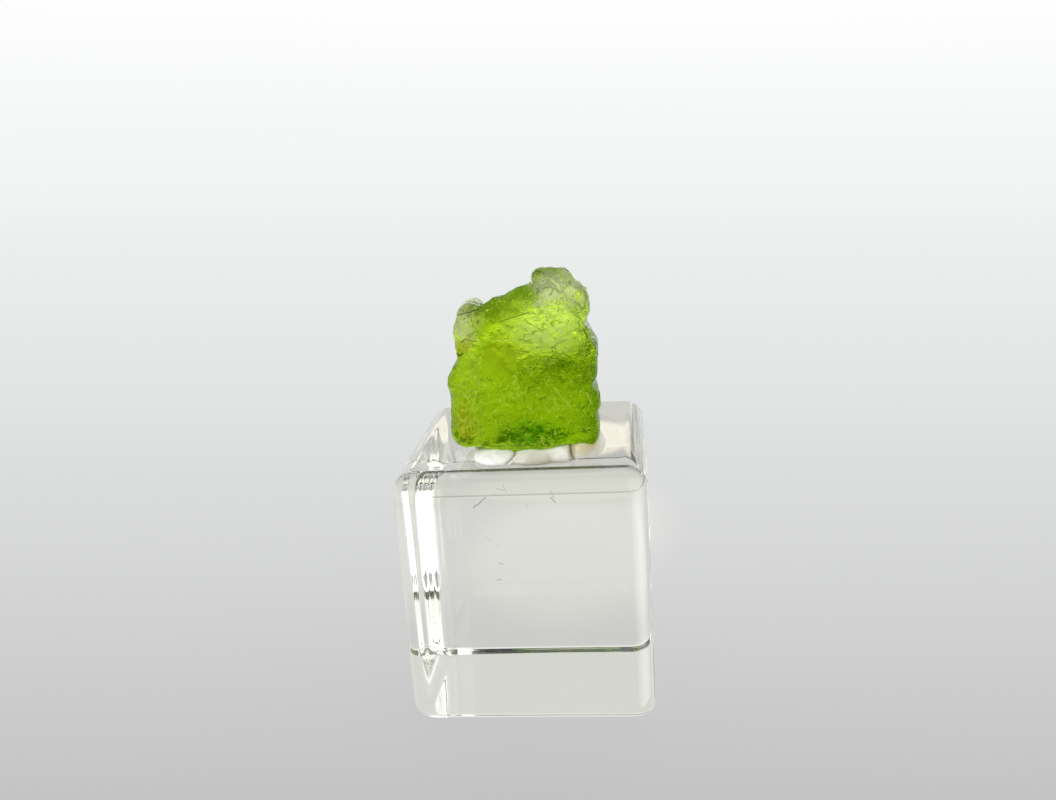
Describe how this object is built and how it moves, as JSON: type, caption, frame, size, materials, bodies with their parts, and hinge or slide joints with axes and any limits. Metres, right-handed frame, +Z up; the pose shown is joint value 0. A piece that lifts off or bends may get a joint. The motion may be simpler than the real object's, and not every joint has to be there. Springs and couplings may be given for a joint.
{
  "type": "peridot crystal on a clear display block",
  "caption": "Rough etched green crystal held upright by a pad of white tack on a clear block with rounded edges, as a mineral display.",
  "frame": {"origin": "middle of the block's foot, on the surface that it stands on", "axes": "+Z up, the crystal's broad front face looks along -Y, +X to the viewer's right"},
  "size_m": [0.0254, 0.0266, 0.0468],
  "materials": {
    "peridot": "transparent yellow-green olivine, etched satin skin with fine glints",
    "tack": "matt white kneaded putty",
    "clear_block": "clear cast acrylic, polished, a few scuffs"
  },
  "bodies": {
    "root": {"peridot_crystal": "peridot", "mineral_tack": "tack", "display_block": "clear_block"}
  },
  "joints": []
}
